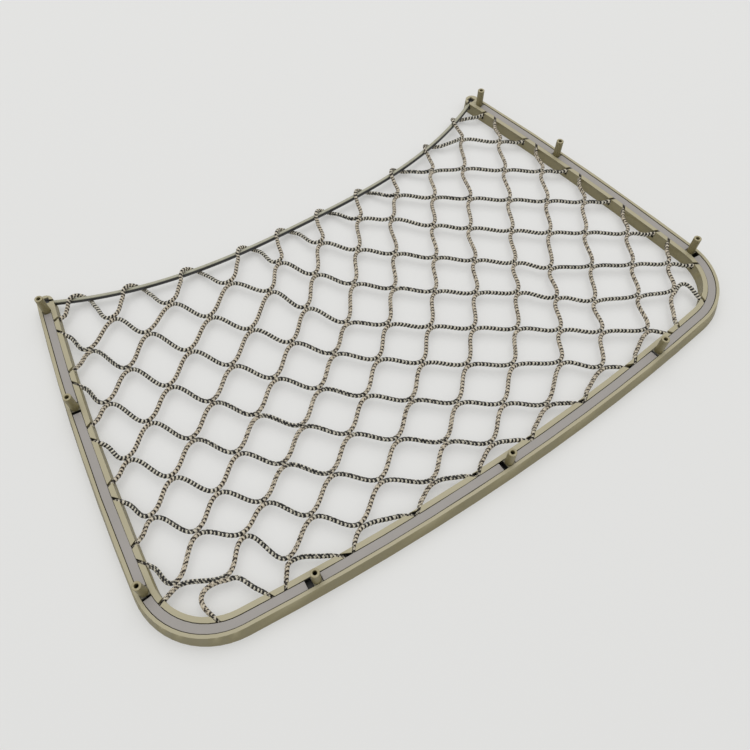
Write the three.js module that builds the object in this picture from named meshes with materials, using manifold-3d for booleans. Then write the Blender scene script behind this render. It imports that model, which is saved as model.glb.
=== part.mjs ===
// Mesh pocket for the back of a seat: one moulded U frame with nine hollow studs, a knotless cord net
// whose edge loops are pressed into the frame's channel by eight strips, and an elastic top cord.
// Millimetres. X runs across the pocket, Y towards its open top, Z out of its back, where the studs
// stand. The pocket lies on its front face, and the origin is under the middle of its box.

import * as THREE from 'three';
import { mergeVertices } from 'three/addons/utils/BufferGeometryUtils.js';
import Module from 'manifold-3d';

const wasm = await Module();
wasm.setup();

// Rail section. Offsets are from the line that the studs stand on, positive outwards.
const RAIL_HEIGHT = 8.7;
const CHANNEL_WIDTH = 5.6;
const CHANNEL_DEPTH = 6.1;
const INNER_RIM = 3.0;
const OUTER_RIM = 1.9;
const OUTER_FLARE = 2.3;
const INNER_EDGE = -(CHANNEL_WIDTH / 2 + INNER_RIM);
const OUTER_EDGE = CHANNEL_WIDTH / 2 + OUTER_RIM;

// Plan of the line that the studs stand on, with Y measured from the end studs.
const END_STUD = new THREE.Vector2(180, 0);
const UPPER_STUD = new THREE.Vector2(191.8, -78.5);
const LOWER_STUD = new THREE.Vector2(203.4, -201.9);
const BOTTOM_STUD_X = 125.8;
const BOTTOM_Y = -252.3;
const BOTTOM_BOW_RADIUS = 1484;
const CORNER_RADIUS = 40;
const END_REACH = 7.2;
const BOTTOM_STEPS = 6;
const BEND_STEPS = 14;
const SIDE_STEPS = 7;
const LEAST_STEP = 2;

// Studs, and the pockets at the two ends of the rail that hold the ends of the elastic. A tunnel for
// the elastic runs from each pocket to the rail's inner side, with a narrow slit above it.
const STUD_HEIGHT = 12.4;
const STUD_DIAMETER = 5.1;
const STUD_BORE = 2.4;
const BORE_DEPTH = 15;
const STUD_SIDES = 16;
const POCKET_FROM_STUD = 5.6;
const POCKET_LENGTH = 4.8;
const POCKET_INNER = -3.2;
const POCKET_OUTER = 1.4;
const TUNNEL_FLOOR = -5.4;
const TUNNEL_CEILING = -1.15;
const TUNNEL_LENGTH = 10;
const SLIT_WIDTH = 1.8;
const STUD_BLOCK_TOP = -0.8;

// Strips that press the net's edge into the channel.
const GAP = 0.3;
const STRIP_WIDTH = CHANNEL_WIDTH - 2 * GAP;
const STRIP_THICKNESS = 2.2;

// The strips in order from the left end stud round to the right one, and what each leaves free of the
// studs before and after it.
const STRIPS = [
  { name: 'left_upper', before: 0.4, after: 0.4 },
  { name: 'left_lower', before: 2.0, after: 0.4 },
  { name: 'left_corner', before: 1.5, after: 3.5 },
  { name: 'bottom_left', before: 0.4, after: 3.0 },
  { name: 'bottom_right', before: 0.4, after: 1.7 },
  { name: 'right_corner', before: 0.4, after: 3.0 },
  { name: 'right_lower', before: 0.4, after: 0.4 },
  { name: 'right_upper', before: 0.4, after: 0.4 },
];

// Cords. The net lies a little under the rail's back face.
const CORD_DIAMETER = 2.7;
const CORD_SIDES = 5;
const NET_Z = -3.0;
const CHANNEL_CORD_Z = -4.3;
const NOTCH_WIDTH = 3.8;
const NOTCH_OVERRUN = 3.4;
const NOTCH_RISE = 0.4;
const NOTCH_LEAN = 0.8;
const ELASTIC_DIAMETER = 3.5;
const ELASTIC_SIDES = 10;
const ELASTIC_STEPS = 44;
const ELASTIC_Z = -3.2;
const ELASTIC_LOW_Y = -27.1;
const ELASTIC_RISE = 32.6;
const ELASTIC_ENTRY_X = 173;
const ELASTIC_POWER = 2.75;
const TUNNEL_EASE = 0.4;
const ANCHOR_FROM_STUD = 8.2;
const ANCHOR_OFFSET = -0.2;

// Loops of the net round the elastic: turn in degrees from the net's side over the top.
const LOOP_RADIUS = 3.75;
const LOOP_TURNS = [50, 85, 120, 155, 190, 225, 260, 295];
const LOOP_LEAN = 5.5;
const LOOP_APPROACH = 12;
const LOOP_FOOT = 5.2;
const LINK_OVERLAP = 0.8;
const RIM_CLEAR = 4.6;
const CORNER_STEPS = 8;

// Lie of the net: twelve zigzag cords, each sewn to the next where their bends meet.
const ZIGZAGS = 12;
const LAST_PLACE = 9;
const JOINT_HALF = 0.5;
const SHOULDER = 8;
const LEAST_REACH = 0.4;
const LEG_STEPS = [0.12, 0.88];
const SLACK_SHOULDER = 12;
const SLACK_LIFT = 0.5;
const SLACK_LEAN = 0.3;
const SLACK_LEG_STEPS = [0.12, 0.25, 0.4, 0.55, 0.7, 0.88];
const FIRST_SPACING = 38;
const PULL_GROWTH = 1.07;
const EDGE_PULL = 0.35;
const SETTLING_ROUNDS = 400;

// Where the top loops hang on the elastic.
const TOP_LOOPS = [-158, -125, -87.5, -47, -17, 15.5, 49.5, 83, 119, 155];

// Heights of the loops in the side rails, and half the distance between the two legs of one loop
// where they cross the rim.
const SIDE_LOOPS = [-15, -57, -99.8, -140.8, -181, -212.8];
const SIDE_SPREAD = 5.3;

// Loops in the bottom rail, from the middle outwards.
const BOTTOM_LOOPS = [
  { across: 20, spread: 1.7 },
  { across: 62.3, spread: 2.2 },
  { across: 105, spread: 3.7 },
  { across: 146, spread: 4.5 },
  { across: 180.5, spread: 0 },
];

// Joints that lie off the even spread of the net. The rest settle between them.
const PULLED_JOINTS = [
  { row: 1, place: 9, x: 145.4, y: -22.4 },
  { row: 2, place: 1, x: -132.8, y: -51.6 },
  { row: 2, place: 3, x: -51.2, y: -66.8 },
  { row: 2, place: 6, x: 52.7, y: -59.7 },
  { row: 2, place: 8, x: 126.3, y: -48.6 },
  { row: 4, place: 4, x: -22.9, y: -117.2 },
  { row: 4, place: 7, x: 93.0, y: -98.0 },
  { row: 7, place: 7, x: 83.9, y: -161.0 },
  { row: 7, place: 8, x: 116.2, y: -157.5 },
  { row: 7, place: 9, x: 157.5, y: -147.4 },
  { row: 9, place: 8, x: 121.2, y: -194.8 },
  { row: 10, place: 0, x: -187.8, y: -206.9 },
  { row: 10, place: 1, x: -146.0, y: -203.4 },
  { row: 10, place: 6, x: 70.8, y: -218.0 },
  { row: 11, place: 1, x: -164.1, y: -219.0 },
  { row: 11, place: 2, x: -132.3, y: -229.1 },
  { row: 11, place: 3, x: -90.5, y: -235.1 },
  { row: 11, place: 7, x: 89.5, y: -235.1 },
  { row: 11, place: 8, x: 133.3, y: -231.1 },
  { row: 11, place: 9, x: 170.1, y: -218.8 },
];

// How far a cut runs past the face that it opens, and how deep a joined block bites into its walls.
const CUT_PAST = 1;
const CEILING_BITE = 0.5;
const BLOCK_BITE = 0.2;
const BLOCK_ROOT = 0.5;

const CAP_STEPS = 8;
const LONGEST_REACH = 500;
const HALVINGS = 50;
const WELD = 1e-4;

const framePlastic = new THREE.MeshStandardMaterial({ color: 0xbdb596, roughness: 0.5, metalness: 0 });
const stripPlastic = new THREE.MeshStandardMaterial({ color: 0xaea7a9, roughness: 0.7, metalness: 0 });
const netCord = new THREE.MeshStandardMaterial({ color: 0x9c9078, roughness: 0.9, metalness: 0 });
const elasticCord = new THREE.MeshStandardMaterial({ color: 0x84846f, roughness: 0.6, metalness: 0 });

// Solids and meshes

function toSolid(geometry) {
  const bare = geometry.clone();
  bare.deleteAttribute('normal');
  bare.deleteAttribute('uv');
  const merged = mergeVertices(bare, WELD);
  const vertProperties = new Float32Array(merged.attributes.position.array);
  const triVerts = new Uint32Array(merged.index.array);
  const solid = new wasm.Manifold(new wasm.Mesh({ numProp: 3, vertProperties, triVerts }));
  if (solid.volume() > 0) return solid;
  for (let i = 0; i < triVerts.length; i += 3) {
    [triVerts[i], triVerts[i + 1]] = [triVerts[i + 1], triVerts[i]];
  }
  return new wasm.Manifold(new wasm.Mesh({ numProp: 3, vertProperties, triVerts }));
}

function toGeometry(solid) {
  const { vertProperties, triVerts } = solid.getMesh();
  const geometry = new THREE.BufferGeometry();
  geometry.setAttribute('position', new THREE.BufferAttribute(vertProperties, 3));
  geometry.setIndex(new THREE.BufferAttribute(triVerts, 1));
  geometry.computeVertexNormals();
  return geometry;
}

function plate(outline, bottom, top) {
  const shape = new THREE.Shape(outline);
  const geometry = new THREE.ExtrudeGeometry(shape, { depth: top - bottom, bevelEnabled: false });
  return toSolid(geometry.translate(0, 0, bottom));
}

function post(x, y, bottom, top, diameter) {
  const geometry = new THREE.CylinderGeometry(diameter / 2, diameter / 2, top - bottom, STUD_SIDES);
  geometry.rotateX(Math.PI / 2);
  return toSolid(geometry.translate(x, y, (top + bottom) / 2));
}

// A solid between two outlines of equal length, one at the bottom and one at the top.
function tapered(lower, upper, bottom, top) {
  const count = lower.length;
  const positions = [];
  for (const point of lower) positions.push(point.x, point.y, bottom);
  for (const point of upper) positions.push(point.x, point.y, top);
  const index = [];
  for (const [a, b, c] of THREE.ShapeUtils.triangulateShape(lower, [])) index.push(a, c, b);
  for (const [a, b, c] of THREE.ShapeUtils.triangulateShape(upper, [])) {
    index.push(a + count, b + count, c + count);
  }
  for (let i = 0; i < count; i += 1) {
    const next = (i + 1) % count;
    index.push(i, next, next + count);
    index.push(i, next + count, i + count);
  }
  const geometry = new THREE.BufferGeometry();
  geometry.setAttribute('position', new THREE.Float32BufferAttribute(positions, 3));
  geometry.setIndex(index);
  return toSolid(geometry);
}

// Plan of the rail: the bottom, the corner and the side are three arcs that run into each other

function circleThrough(a, b, c) {
  const d = 2 * (a.x * (b.y - c.y) + b.x * (c.y - a.y) + c.x * (a.y - b.y));
  const aa = a.lengthSq();
  const bb = b.lengthSq();
  const cc = c.lengthSq();
  const x = (aa * (b.y - c.y) + bb * (c.y - a.y) + cc * (a.y - b.y)) / d;
  const y = (aa * (c.x - b.x) + bb * (a.x - c.x) + cc * (b.x - a.x)) / d;
  const centre = new THREE.Vector2(x, y);
  return { centre, radius: centre.distanceTo(a) };
}

const side = circleThrough(END_STUD, UPPER_STUD, LOWER_STUD);
const bottom = { centre: new THREE.Vector2(0, BOTTOM_Y + BOTTOM_BOW_RADIUS), radius: BOTTOM_BOW_RADIUS };

// The corner's centre lies where circles drawn a corner radius inside both arcs cross.
function cornerBetween(first, second, radius) {
  const r1 = first.radius - radius;
  const r2 = second.radius - radius;
  const line = second.centre.clone().sub(first.centre);
  const gap = line.length();
  const along = (r1 * r1 - r2 * r2 + gap * gap) / (2 * gap);
  const across = Math.sqrt(r1 * r1 - along * along);
  const unit = line.normalize();
  const middle = first.centre.clone().addScaledVector(unit, along);
  const normal = new THREE.Vector2(-unit.y, unit.x);
  const one = middle.clone().addScaledVector(normal, across);
  const other = middle.clone().addScaledVector(normal, -across);
  return { centre: one.y < other.y ? one : other, radius };
}

const corner = cornerBetween(bottom, side, CORNER_RADIUS);

function heading(from, to) {
  return Math.atan2(to.y - from.y, to.x - from.x);
}

const DOWN = -Math.PI / 2;
const cornerStart = heading(bottom.centre, corner.centre);
const cornerEnd = heading(side.centre, corner.centre);
const bottomLength = (cornerStart - DOWN) * bottom.radius;
const cornerLength = (cornerEnd - cornerStart) * corner.radius;

// A point of the right half at a given length from the middle of the bottom. The left half mirrors it.
function railPoint(length, offset = 0) {
  const distance = Math.abs(length);
  let arc = side;
  let angle = cornerEnd + (distance - bottomLength - cornerLength) / side.radius;
  if (distance <= bottomLength) {
    arc = bottom;
    angle = DOWN + distance / bottom.radius;
  } else if (distance <= bottomLength + cornerLength) {
    arc = corner;
    angle = cornerStart + (distance - bottomLength) / corner.radius;
  }
  const outward = new THREE.Vector2(Math.cos(angle), Math.sin(angle));
  const point = arc.centre.clone().addScaledVector(outward, arc.radius + offset);
  if (length < 0) point.x = -point.x;
  return point;
}

// Length at which the rail reaches a given height or a given distance across.
function lengthWhere(reached) {
  let low = 0;
  let high = LONGEST_REACH;
  for (let i = 0; i < HALVINGS; i += 1) {
    const middle = (low + high) / 2;
    if (reached(railPoint(middle))) high = middle;
    else low = middle;
  }
  return (low + high) / 2;
}

const lengthAtHeight = (y) => lengthWhere((point) => point.y > y);
const lengthAcross = (x) => lengthWhere((point) => point.x > x || point.y > corner.centre.y);

const studLengths = [0];
for (const reach of [
  lengthAcross(BOTTOM_STUD_X),
  lengthAtHeight(LOWER_STUD.y),
  lengthAtHeight(UPPER_STUD.y),
  lengthAtHeight(END_STUD.y),
]) {
  studLengths.push(reach, -reach);
}
studLengths.sort((a, b) => a - b);
const endStudLength = studLengths.at(-1);
const endLength = lengthAtHeight(END_REACH);

// Lengths to draw a stretch of rail with: close together in the corners, wide apart elsewhere.
function stretch(from, to) {
  const marks = [];
  const bends = [bottomLength, bottomLength + cornerLength];
  for (let i = 1 - BOTTOM_STEPS; i < BOTTOM_STEPS; i += 1) marks.push((i / BOTTOM_STEPS) * bends[0]);
  for (let i = 0; i <= BEND_STEPS; i += 1) marks.push(bends[0] + (i / BEND_STEPS) * cornerLength);
  for (let i = 1; i < SIDE_STEPS; i += 1) marks.push(bends[1] + (i / SIDE_STEPS) * (endLength - bends[1]));
  const both = [...marks, ...marks.filter((mark) => mark >= bends[0]).map((mark) => -mark)];
  const inside = both.filter((mark) => mark > from + LEAST_STEP && mark < to - LEAST_STEP);
  return [from, ...inside.sort((a, b) => a - b), to];
}

function band(from, to, inner, outer) {
  const lengths = stretch(from, to);
  const outside = lengths.map((length) => railPoint(length, outer));
  const inside = lengths.map((length) => railPoint(length, inner));
  return [...outside, ...inside.reverse()];
}

// The rail's outline: outer edge from the left end to the right, round cap, inner edge back, round cap.
function railOutline(inner, outer) {
  const lengths = stretch(-endLength, endLength);
  const middle = (inner + outer) / 2;
  const half = (outer - inner) / 2;
  const centre = railPoint(endLength, middle);
  const outward = railPoint(endLength, outer).sub(centre).divideScalar(half);
  const onward = new THREE.Vector2(-outward.y, outward.x);
  const cap = [];
  for (let i = 1; i < CAP_STEPS; i += 1) {
    const turn = (Math.PI * i) / CAP_STEPS;
    const point = centre.clone().addScaledVector(outward, half * Math.cos(turn));
    cap.push(point.addScaledVector(onward, half * Math.sin(turn)));
  }
  const mirrored = cap.map((point) => new THREE.Vector2(-point.x, point.y)).reverse();
  const outside = lengths.map((length) => railPoint(length, outer));
  const inside = lengths.map((length) => railPoint(length, inner)).reverse();
  return [...outside, ...cap, ...inside, ...mirrored];
}

// Laid cords

class Laid extends THREE.Curve {
  constructor(points) {
    super();
    this.points = points;
  }

  getPoint(t) {
    const place = t * (this.points.length - 1);
    const index = Math.min(Math.floor(place), this.points.length - 2);
    return this.points[index].clone().lerp(this.points[index + 1], place - index);
  }

  getPointAt(t) {
    return this.getPoint(t);
  }

  getTangentAt(t) {
    const index = Math.round(t * (this.points.length - 1));
    const before = this.points[Math.max(index - 1, 0)];
    const after = this.points[Math.min(index + 1, this.points.length - 1)];
    return after.clone().sub(before).normalize();
  }
}

function cord(points, diameter, sides) {
  const section = new THREE.Shape();
  for (let i = 0; i < sides; i += 1) {
    const turn = (2 * Math.PI * (i + 0.5)) / sides;
    const x = (diameter / 2) * Math.cos(turn);
    const y = (diameter / 2) * Math.sin(turn);
    if (i === 0) section.moveTo(x, y);
    else section.lineTo(x, y);
  }
  const extrudePath = new Laid(points);
  return toSolid(new THREE.ExtrudeGeometry(section, { steps: points.length - 1, extrudePath }));
}

function elasticPoint(x) {
  const rise = ELASTIC_RISE * (Math.abs(x) / ELASTIC_ENTRY_X) ** ELASTIC_POWER;
  return new THREE.Vector3(x, ELASTIC_LOW_Y + rise, ELASTIC_Z);
}

// Places of the joints and edge loops. Even rows have ten places, odd rows eleven, and the outermost
// places of the odd rows are the loops in the side rails.

const isEven = (row) => row % 2 === 0;
const lastPlace = (row) => (isEven(row) ? LAST_PLACE : LAST_PLACE + 1);
const key = (row, place) => `${row}/${place}`;

function neighbours(row, place) {
  const shift = isEven(row) ? 0 : -1;
  return [
    [row - 1, place + shift],
    [row - 1, place + shift + 1],
    [row + 1, place + shift],
    [row + 1, place + shift + 1],
  ];
}

function sideLoop(row) {
  const y = SIDE_LOOPS[(row - 1) / 2];
  return { length: lengthAtHeight(y), spread: row === ZIGZAGS - 1 ? 0 : SIDE_SPREAD };
}

function bottomLoop(place) {
  const half = BOTTOM_LOOPS.length;
  const sign = place < half ? -1 : 1;
  const { across, spread } = BOTTOM_LOOPS[place < half ? half - 1 - place : place - half];
  return { length: sign * lengthAcross(across), spread };
}

function layNet() {
  const places = new Map();
  const held = new Set();
  const hold = (row, place, x, y) => {
    places.set(key(row, place), new THREE.Vector2(x, y));
    held.add(key(row, place));
  };
  TOP_LOOPS.forEach((x, place) => hold(0, place, x, elasticPoint(x).y));
  for (let row = 1; row < ZIGZAGS; row += 2) {
    for (const [place, sign] of [[0, -1], [LAST_PLACE + 1, 1]]) {
      const point = railPoint(sign * sideLoop(row).length);
      hold(row, place, point.x, point.y);
    }
  }
  for (let place = 0; place <= LAST_PLACE; place += 1) {
    const point = railPoint(bottomLoop(place).length);
    hold(ZIGZAGS, place, point.x, point.y);
  }
  for (const { row, place, x, y } of PULLED_JOINTS) hold(row, place, x, y);

  for (let row = 1; row < ZIGZAGS; row += 1) {
    for (let place = 0; place <= lastPlace(row); place += 1) {
      if (held.has(key(row, place))) continue;
      const y = ELASTIC_LOW_Y + (row / ZIGZAGS) * (BOTTOM_Y - ELASTIC_LOW_Y);
      places.set(key(row, place), new THREE.Vector2((place - lastPlace(row) / 2) * FIRST_SPACING, y));
    }
  }
  const across = (row, place) => (2 * place - lastPlace(row)) / (LAST_PLACE + 1);
  for (let round = 0; round < SETTLING_ROUNDS; round += 1) {
    for (let row = 1; row < ZIGZAGS; row += 1) {
      for (let place = 0; place <= lastPlace(row); place += 1) {
        if (held.has(key(row, place))) continue;
        const sum = new THREE.Vector2();
        let total = 0;
        for (const [nextRow, nextPlace] of neighbours(row, place)) {
          const reach = (across(row, place) + across(nextRow, nextPlace)) / 2;
          const pull = PULL_GROWTH ** Math.min(row, nextRow) * (1 + EDGE_PULL * reach * reach);
          sum.addScaledVector(places.get(key(nextRow, nextPlace)), pull);
          total += pull;
        }
        places.set(key(row, place), sum.divideScalar(total));
      }
    }
  }
  return places;
}

const joints = layNet();

// The point that a leg's curve is drawn towards as it leaves one of its ends. The joint end of a slack
// leg is also lifted towards the pocket's top.
function handle({ point, pull, slack }, way, reach, lift) {
  const direction = (pull ?? way).clone();
  if (!slack) direction.y += lift;
  return point.clone().addScaledVector(direction.normalize(), reach);
}

// One leg of the net, level with the pocket's width where it meets its neighbours. The legs into the
// lower corners hang slack: they swing up and out, and then drop into the rim.
function leg(from, to) {
  const slack = from.slack || to.slack;
  const lift = slack ? SLACK_LIFT : 0;
  const way = to.point.clone().sub(from.point);
  const reach = slack ? SLACK_SHOULDER : Math.min(SHOULDER, LEAST_REACH * way.length());
  const curve = new THREE.CubicBezierCurve3(
    from.point,
    handle(from, way, reach, lift),
    handle(to, way.clone().negate(), reach, lift),
    to.point,
  );
  return (slack ? SLACK_LEG_STEPS : LEG_STEPS).map((t) => curve.getPoint(t));
}

const LEFT = new THREE.Vector3(-1, 0, 0);
const RIGHT = new THREE.Vector3(1, 0, 0);

function railSpot(length, offset, z) {
  const point = railPoint(length, offset);
  return new THREE.Vector3(point.x, point.y, z);
}

// How an edge leg crosses the inner rim: the middle of its notch, the way it runs there, which leans
// towards the joint it comes from, and how far it runs from the notch's middle to either face.
function crossing(length, from, lean = NOTCH_LEAN) {
  const middle = railPoint(length, INNER_EDGE + INNER_RIM / 2);
  const outward = railPoint(length, 1).sub(railPoint(length));
  const straight = middle.clone().sub(from).normalize();
  const way = outward.clone().lerp(straight, lean).normalize();
  return { middle, way, reach: INNER_RIM / 2 / way.dot(outward) };
}

function crossingSpot({ middle, way }, distance, z) {
  const point = middle.clone().addScaledVector(way, distance);
  return new THREE.Vector3(point.x, point.y, z);
}

// An edge leg runs straight to a point just inside the rim, then through its notch into the channel.
function atRim(notch) {
  return { point: crossingSpot(notch, -notch.reach - RIM_CLEAR, NET_Z) };
}

function throughNotch(notch) {
  const { reach } = notch;
  return [
    crossingSpot(notch, -reach, NET_Z + NOTCH_RISE),
    crossingSpot(notch, reach, CHANNEL_CORD_Z),
    crossingSpot(notch, reach * (1 + CHANNEL_WIDTH / INNER_RIM), CHANNEL_CORD_Z),
  ];
}

// The crossing of the leg that runs from a side loop up or down the net.
function sideCrossing(row, place, above) {
  const { length, spread } = sideLoop(row);
  const joint = joints.get(key(row - above, Math.min(place, LAST_PLACE)));
  return crossing((place === 0 ? -1 : 1) * (length + above * spread), joint);
}

// The crossing of the leg that comes down to a bottom loop, or of the one that goes on from it. The
// first and the last loop have one leg, which drops straight down into the rim.
function bottomCrossing(place, onward) {
  const { length, spread } = bottomLoop(place);
  if (spread === 0) {
    const above = railPoint(length, INNER_EDGE + INNER_RIM / 2);
    above.add(new THREE.Vector2(Math.sign(length) * SLACK_LEAN, 1));
    return crossing(length, above, 1);
  }
  const joint = joints.get(key(ZIGZAGS - 1, onward ? place + 1 : place));
  return crossing(length + (onward ? spread : -spread), joint);
}

// A top loop comes over the elastic from the lower left and leaves beneath it to the lower right.
function aroundElastic(x) {
  const centre = elasticPoint(x);
  const along = elasticPoint(x + 1).sub(elasticPoint(x - 1)).normalize();
  const outward = new THREE.Vector3(-along.y, along.x, 0);
  const spot = (turn, radius) => centre
    .clone()
    .addScaledVector(outward, -radius * Math.cos(turn))
    .addScaledVector(along, LOOP_LEAN * (turn / Math.PI - 1))
    .setZ(ELASTIC_Z + radius * Math.sin(turn));
  const through = LOOP_TURNS.map((turn) => spot((turn * Math.PI) / 180, LOOP_RADIUS));
  const first = spot((LOOP_APPROACH * Math.PI) / 180, LOOP_FOOT);
  const last = spot(((360 - LOOP_APPROACH) * Math.PI) / 180, LOOP_FOOT);
  return { arrive: { point: first }, through, depart: { point: last } };
}

// What a zigzag does at one of its bends, when it is followed from left to right.
function bend(zigzag, row, place) {
  if (row === 0) return aroundElastic(TOP_LOOPS[place]);
  if (row === ZIGZAGS) {
    const down = bottomCrossing(place, false);
    const up = bottomCrossing(place, true);
    if (place > 0 && place < LAST_PLACE) {
      const through = [...throughNotch(down), ...throughNotch(up).reverse()];
      return { arrive: atRim(down), through, depart: atRim(up) };
    }
    const end = { ...atRim(up), pull: new THREE.Vector3(-up.way.x, -up.way.y, 0), slack: true };
    const through = throughNotch(up);
    return { arrive: end, through: place === 0 ? through.reverse() : through, depart: end };
  }
  if (!isEven(row) && (place === 0 || place === LAST_PLACE + 1)) {
    const { length, spread } = sideLoop(row);
    const sign = place === 0 ? -1 : 1;
    const above = row > zigzag ? 1 : -1;
    const passage = sideCrossing(row, place, above);
    const through = throughNotch(passage);
    if (spread > 0) through.push(railSpot(sign * (length - above * LINK_OVERLAP), 0, CHANNEL_CORD_Z));
    if (place === 0) through.reverse();
    return { arrive: atRim(passage), through, depart: atRim(passage) };
  }
  const { x, y } = joints.get(key(row, place));
  const point = new THREE.Vector3(x, y + (row > zigzag ? JOINT_HALF : -JOINT_HALF), NET_Z);
  return { arrive: { point, pull: LEFT }, through: [], depart: { point, pull: RIGHT } };
}

function zigzagRoute(zigzag) {
  const stops = [];
  for (let place = 0; place <= LAST_PLACE + 1; place += 1) {
    const pair = [[zigzag, place], [zigzag + 1, place]];
    if (isEven(zigzag)) pair.reverse();
    stops.push(...pair);
  }
  stops.pop();
  if (zigzag === ZIGZAGS - 1) {
    stops.shift();
    stops.pop();
  }
  const bends = stops.map(([row, place]) => bend(zigzag, row, place));
  const route = [...bends[0].through];
  for (let i = 1; i < bends.length; i += 1) {
    route.push(...leg(bends[i - 1].depart, bends[i].arrive), ...bends[i].through);
  }
  return route;
}

// The net's edge cord runs on in the channel round each lower corner.
function cornerRoute(sign) {
  const from = sideLoop(ZIGZAGS - 1).length;
  const to = lengthAcross(BOTTOM_LOOPS.at(-1).across);
  const route = [];
  for (let i = -1; i <= CORNER_STEPS + 1; i += 1) {
    const length = from + (i / CORNER_STEPS) * (to - from);
    route.push(railSpot(sign * length, 0, CHANNEL_CORD_Z));
  }
  return route;
}

function makeNet() {
  let solid = cord(zigzagRoute(0), CORD_DIAMETER, CORD_SIDES);
  for (let zigzag = 1; zigzag < ZIGZAGS; zigzag += 1) {
    solid = solid.add(cord(zigzagRoute(zigzag), CORD_DIAMETER, CORD_SIDES));
  }
  for (const sign of [-1, 1]) solid = solid.add(cord(cornerRoute(sign), CORD_DIAMETER, CORD_SIDES));
  return solid;
}

function elasticRoute() {
  const route = [];
  for (let i = 0; i <= ELASTIC_STEPS; i += 1) {
    route.push(elasticPoint(((2 * i) / ELASTIC_STEPS - 1) * ELASTIC_ENTRY_X));
  }
  const anchor = railPoint(endStudLength + ANCHOR_FROM_STUD, ANCHOR_OFFSET);
  route.unshift(new THREE.Vector3(-anchor.x, anchor.y, ELASTIC_Z));
  route.push(new THREE.Vector3(anchor.x, anchor.y, ELASTIC_Z));
  return route;
}

// The frame: one moulding with a channel for the net's edge, a notch for each edge leg, and the studs

function notch({ middle, way, reach }) {
  const across = new THREE.Vector2(-way.y, way.x).multiplyScalar(NOTCH_WIDTH / 2);
  const outline = [];
  for (const [along, turn] of [[-1, -1], [1, -1], [1, 1], [-1, 1]]) {
    const point = middle.clone().addScaledVector(way, along * (reach + NOTCH_OVERRUN));
    outline.push(point.addScaledVector(across, turn));
  }
  return plate(outline, -CHANNEL_DEPTH, CUT_PAST);
}

function makeNotches() {
  const notches = [];
  for (let row = 1; row < ZIGZAGS; row += 2) {
    for (const place of [0, LAST_PLACE + 1]) {
      notches.push(notch(sideCrossing(row, place, 1)));
      if (row < ZIGZAGS - 1) notches.push(notch(sideCrossing(row, place, -1)));
    }
  }
  for (let place = 0; place <= LAST_PLACE; place += 1) {
    if (place < LAST_PLACE) notches.push(notch(bottomCrossing(place, true)));
    if (place > 0) notches.push(notch(bottomCrossing(place, false)));
  }
  return notches;
}

// A passage of the given width, from the end pocket along the elastic to the rail's inner side.
function elasticPassage(sign, width, floor, ceiling) {
  const route = elasticRoute();
  const outer = route.at(-1);
  const along = new THREE.Vector2().subVectors(outer, route.at(-2)).normalize();
  const inner = new THREE.Vector2(outer.x, outer.y).addScaledVector(along, -TUNNEL_LENGTH);
  const half = width / 2;
  const outline = [];
  for (const [end, way] of [[inner, -1], [outer, -1], [outer, 1], [inner, 1]]) {
    outline.push(new THREE.Vector2(sign * (end.x - way * half * along.y), end.y + way * half * along.x));
  }
  return plate(outline, floor, ceiling);
}

function makeFrame() {
  const foot = railOutline(INNER_EDGE, OUTER_EDGE + OUTER_FLARE);
  const rim = railOutline(INNER_EDGE, OUTER_EDGE);
  const half = CHANNEL_WIDTH / 2;
  const channel = band(-endStudLength, endStudLength, -half, half);
  let solid = tapered(foot, rim, -RAIL_HEIGHT, 0);
  solid = solid.subtract(plate(channel, -CHANNEL_DEPTH, CUT_PAST));
  const pocketStart = endStudLength + POCKET_FROM_STUD;
  for (const sign of [-1, 1]) {
    const ends = [sign * pocketStart, sign * (pocketStart + POCKET_LENGTH)].sort((a, b) => a - b);
    solid = solid.subtract(plate(band(...ends, POCKET_INNER, POCKET_OUTER), -CHANNEL_DEPTH, CUT_PAST));
    const tunnelWidth = ELASTIC_DIAMETER + 2 * TUNNEL_EASE;
    solid = solid.subtract(elasticPassage(sign, tunnelWidth, TUNNEL_FLOOR, TUNNEL_CEILING));
    solid = solid.subtract(elasticPassage(sign, SLIT_WIDTH, TUNNEL_CEILING - CEILING_BITE, CUT_PAST));
  }
  for (const cut of makeNotches()) solid = solid.subtract(cut);
  for (const length of studLengths) {
    const { x, y } = railPoint(length);
    const ends = [length - STUD_DIAMETER / 2, length + STUD_DIAMETER / 2];
    const block = band(...ends, -half - BLOCK_BITE, half + BLOCK_BITE);
    solid = solid.add(plate(block, -CHANNEL_DEPTH - BLOCK_ROOT, STUD_BLOCK_TOP));
    solid = solid.add(post(x, y, -CHANNEL_DEPTH, STUD_HEIGHT, STUD_DIAMETER));
    solid = solid.subtract(post(x, y, STUD_HEIGHT - BORE_DEPTH, STUD_HEIGHT + CUT_PAST, STUD_BORE));
  }
  return solid;
}

function makeStrip(index) {
  const { before, after } = STRIPS[index];
  const from = studLengths[index] + STUD_DIAMETER / 2 + before;
  const to = studLengths[index + 1] - STUD_DIAMETER / 2 - after;
  return plate(band(from, to, -STRIP_WIDTH / 2, STRIP_WIDTH / 2), -GAP - STRIP_THICKNESS, -GAP);
}

// The pocket, moved so that it stands on z = 0 with its box's middle at x = y = 0

const pocket = new THREE.Group();

function addPiece(name, solid, material) {
  const mesh = new THREE.Mesh(toGeometry(solid), material);
  mesh.name = name;
  pocket.add(mesh);
}

addPiece('frame', makeFrame(), framePlastic);
addPiece('net', makeNet(), netCord);
addPiece('top_elastic', cord(elasticRoute(), ELASTIC_DIAMETER, ELASTIC_SIDES), elasticCord);
STRIPS.forEach(({ name }, index) => addPiece(`strip_${name}`, makeStrip(index), stripPlastic));

const box = new THREE.Box3().setFromObject(pocket.children[0]);
pocket.position.set(0, -(box.min.y + box.max.y) / 2, -box.min.z);

export default pocket;
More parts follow.
